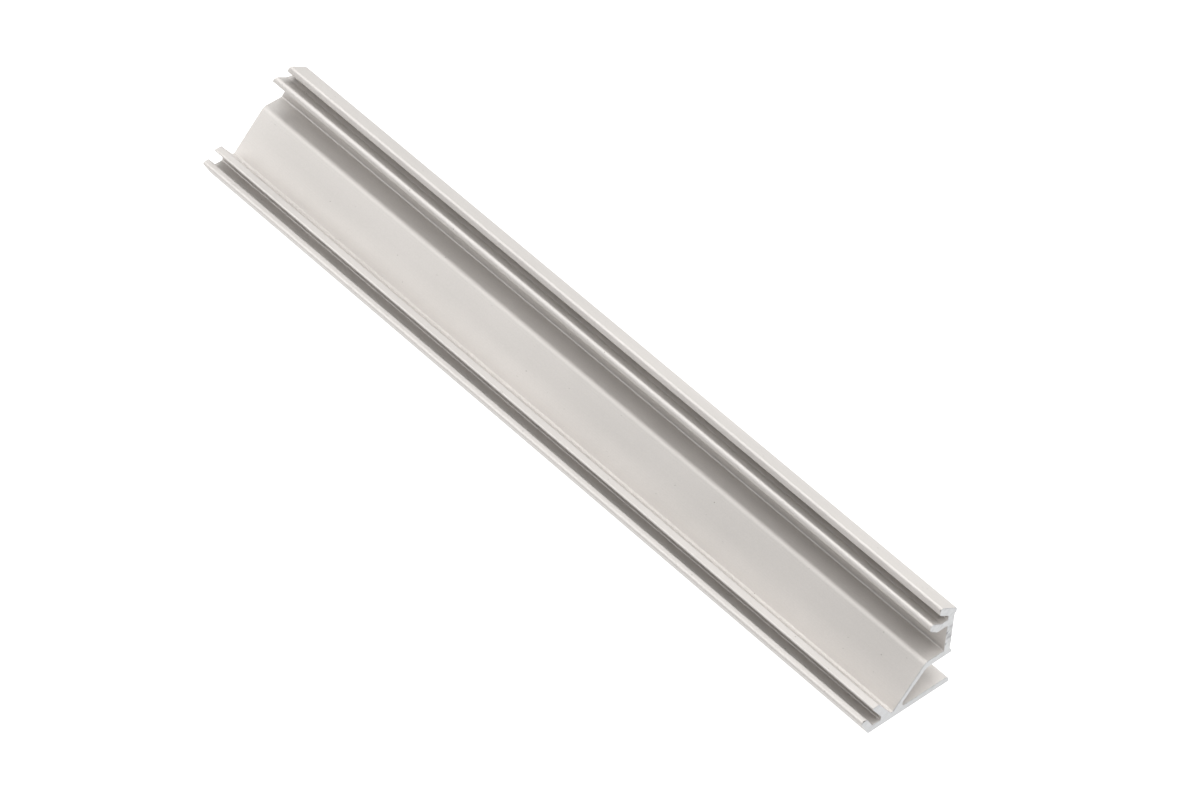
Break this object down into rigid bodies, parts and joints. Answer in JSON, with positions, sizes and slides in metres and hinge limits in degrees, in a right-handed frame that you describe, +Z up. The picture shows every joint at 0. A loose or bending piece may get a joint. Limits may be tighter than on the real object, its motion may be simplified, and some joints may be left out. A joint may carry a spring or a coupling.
{
  "type": "aluminium extrusion profile",
  "caption": "Sawn length of aluminium corner extrusion: flat base, sloping web, short flange and upright wall, with a snap-in cover slot on either side of the web.",
  "frame": {"origin": "middle of the bounding box at floor level, under the base", "axes": "+X along the length towards the square sawn end, +Y from the outer lip to the wall, +Z up"},
  "size_m": [0.184, 0.022, 0.0222],
  "materials": {
    "profile": "satin, as extruded and natural anodised, with bare sawn ends"
  },
  "bodies": {
    "root": {"profile": "profile"}
  },
  "joints": []
}
